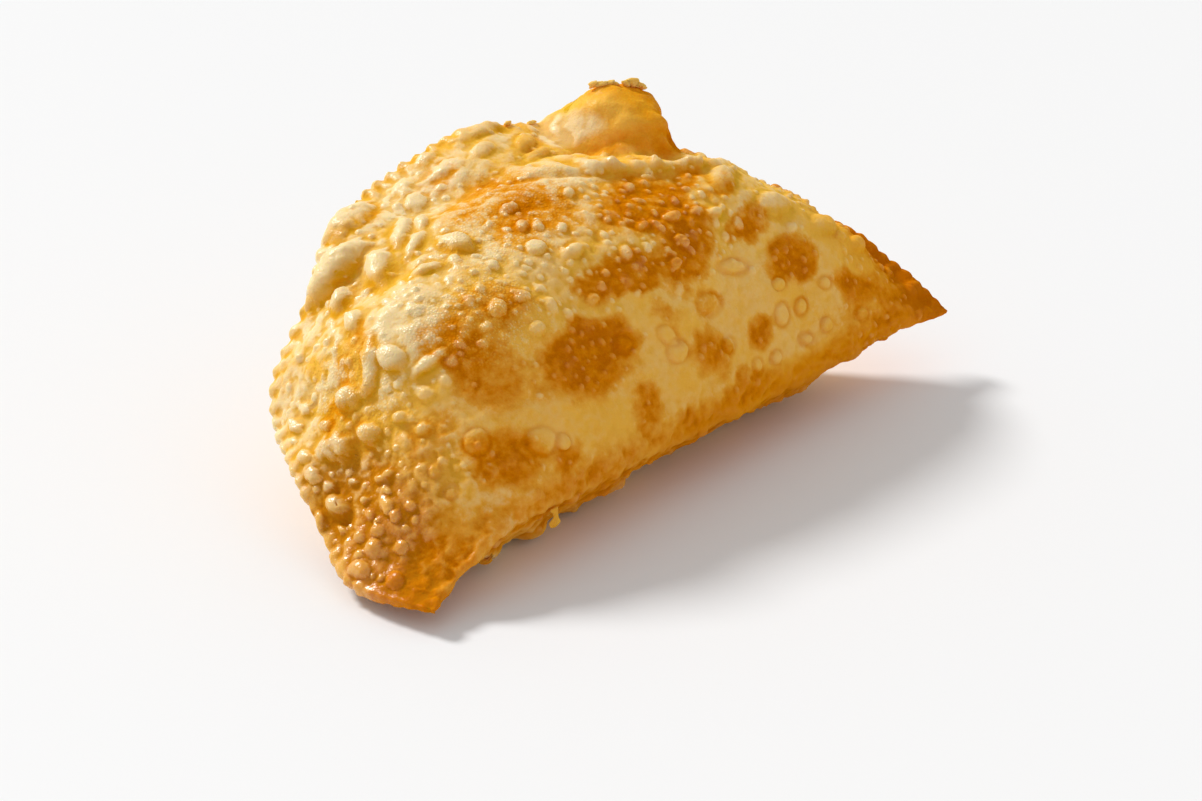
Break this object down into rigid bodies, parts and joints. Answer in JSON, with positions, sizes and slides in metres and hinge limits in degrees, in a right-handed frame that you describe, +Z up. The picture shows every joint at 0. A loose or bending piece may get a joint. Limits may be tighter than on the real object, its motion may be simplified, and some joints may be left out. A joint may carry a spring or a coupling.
{
  "type": "cheburek",
  "caption": "Half-moon deep-fried turnover with a puffed, blistered golden crust, a straight fold, a fluted cut rim and one large bubble lifting the far rim.",
  "frame": {"origin": "bottom centre of the bounding box, on the surface the turnover rests on", "axes": "+X along the straight fold, from the drooping near corner to the raised far tip; +Y from the fold towards the curved rim; +Z up"},
  "size_m": [0.2126, 0.1016, 0.0865],
  "materials": {
    "crust": "deep-fried wheat dough, golden cream with orange-brown patches, blistered, thin oil film, satin"
  },
  "bodies": {
    "root": {"cheburek": "crust"}
  },
  "joints": []
}
